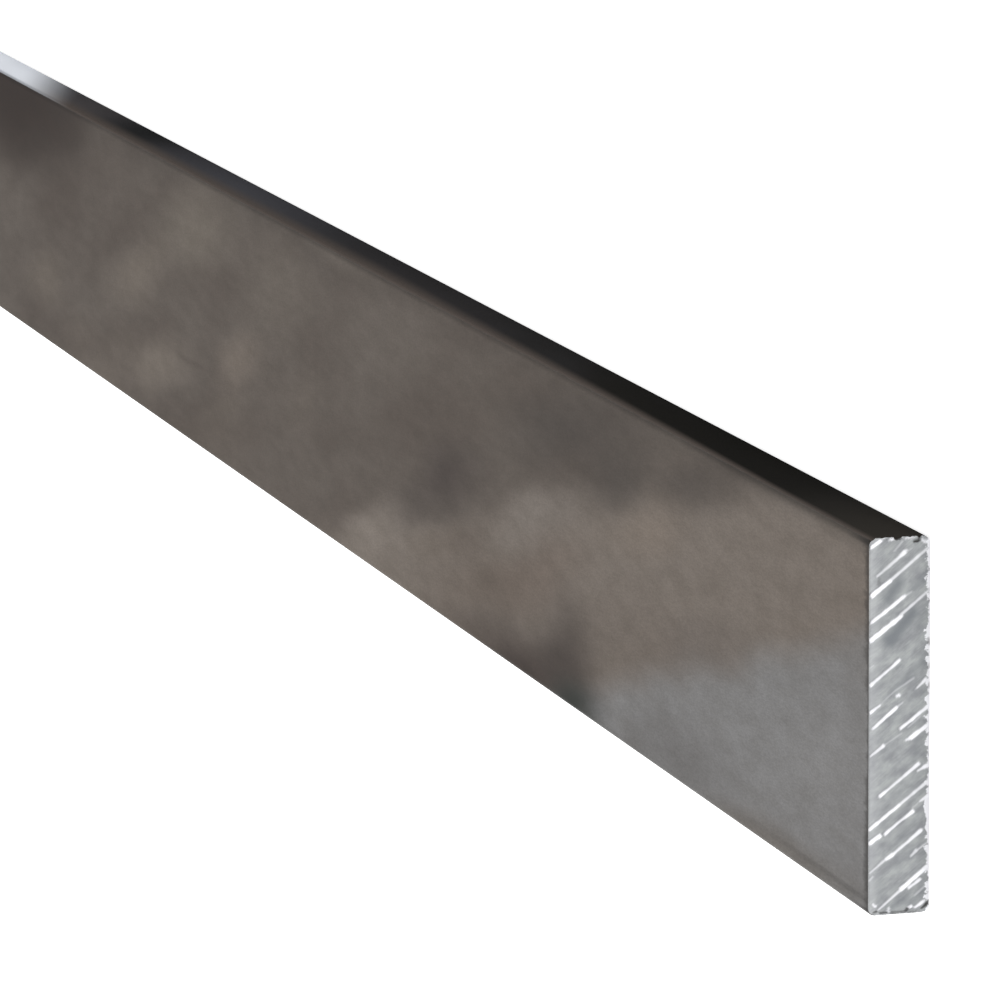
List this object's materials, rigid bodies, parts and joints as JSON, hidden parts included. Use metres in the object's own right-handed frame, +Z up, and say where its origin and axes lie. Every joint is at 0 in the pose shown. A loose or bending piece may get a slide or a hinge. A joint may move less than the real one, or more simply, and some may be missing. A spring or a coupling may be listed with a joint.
{
  "type": "metal flat bar",
  "caption": "Straight rectangular flat bar of plain steel with rounded long edges, a dark smooth rolled skin and bright rough sawn ends.",
  "frame": {"origin": "centre of the broad face that the bar lies on", "axes": "+X along the bar, towards the sawn end that the picture shows; +Y across its width; +Z up through its thickness"},
  "size_m": [0.9144, 0.0382, 0.0063],
  "materials": {
    "steel": "dark smooth rolled skin on the long faces, bright bare metal on the sawn ends"
  },
  "bodies": {
    "root": {"flat_bar": "steel"}
  },
  "joints": []
}
